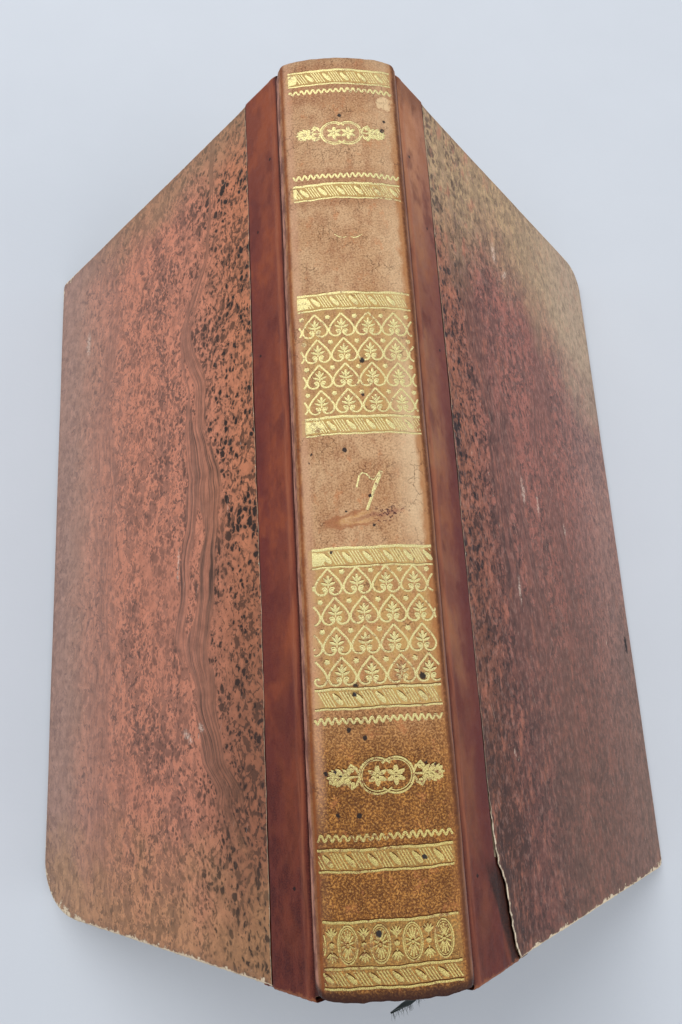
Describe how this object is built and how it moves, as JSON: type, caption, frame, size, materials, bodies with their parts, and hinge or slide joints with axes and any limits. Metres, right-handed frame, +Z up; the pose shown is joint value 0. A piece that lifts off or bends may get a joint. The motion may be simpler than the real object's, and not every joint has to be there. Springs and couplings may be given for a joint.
{
  "type": "antique leather book",
  "caption": "Old half-leather book with gilt-tooled spine and marbled covers, lying open face down like a tent, with covers that swing out from the leaves.",
  "frame": {"origin": "middle of the footprint on the table, under the middle of the spine", "axes": "+X towards the front cover, +Y along the spine towards the head, +Z up out of the spine"},
  "size_m": [0.196, 0.2205, 0.1084],
  "materials": {
    "leaf_paper": "matte",
    "end_paper": "matte",
    "liner_paper": "matte",
    "front_marbled": "satin",
    "back_marbled": "satin",
    "pasteboard": "matte",
    "spine_calf": "satin",
    "side_leather": "satin",
    "gold_leaf": "polished",
    "band_silk": "satin",
    "ribbon_silk": "satin",
    "hemp_cord": "matte"
  },
  "bodies": {
    "block": {"text_block": "leaf_paper", "head_band": "band_silk", "tail_band": "band_silk", "spine_liner": "liner_paper", "spine_leather": "spine_calf", "spine_gilding": "gold_leaf", "sewing_cord_1": "hemp_cord", "sewing_cord_2": "hemp_cord", "sewing_cord_3": "hemp_cord", "sewing_cord_4": "hemp_cord", "sewing_cord_5": "hemp_cord", "ribbon_marker": "ribbon_silk"},
    "front_cover": {"front_board": "pasteboard", "front_leather_side": "side_leather", "front_marbled_paper": "front_marbled", "front_pastedown": "end_paper", "front_cord_slips": "hemp_cord"},
    "back_cover": {"back_board": "pasteboard", "back_leather_side": "side_leather", "back_marbled_paper": "back_marbled", "back_pastedown": "end_paper", "back_cord_slips": "hemp_cord"}
  },
  "joints": [
    {"name": "front_cover_hinge", "type": "hinge", "parent": "block", "child": "front_cover", "pos_m": [0.01565, 0, 0.10137], "axis": [0, -1, 0], "range_deg": [0, 130]},
    {"name": "back_cover_hinge", "type": "hinge", "parent": "block", "child": "back_cover", "pos_m": [-0.01565, 0, 0.10137], "axis": [0, 1, 0], "range_deg": [0, 130]}
  ]
}
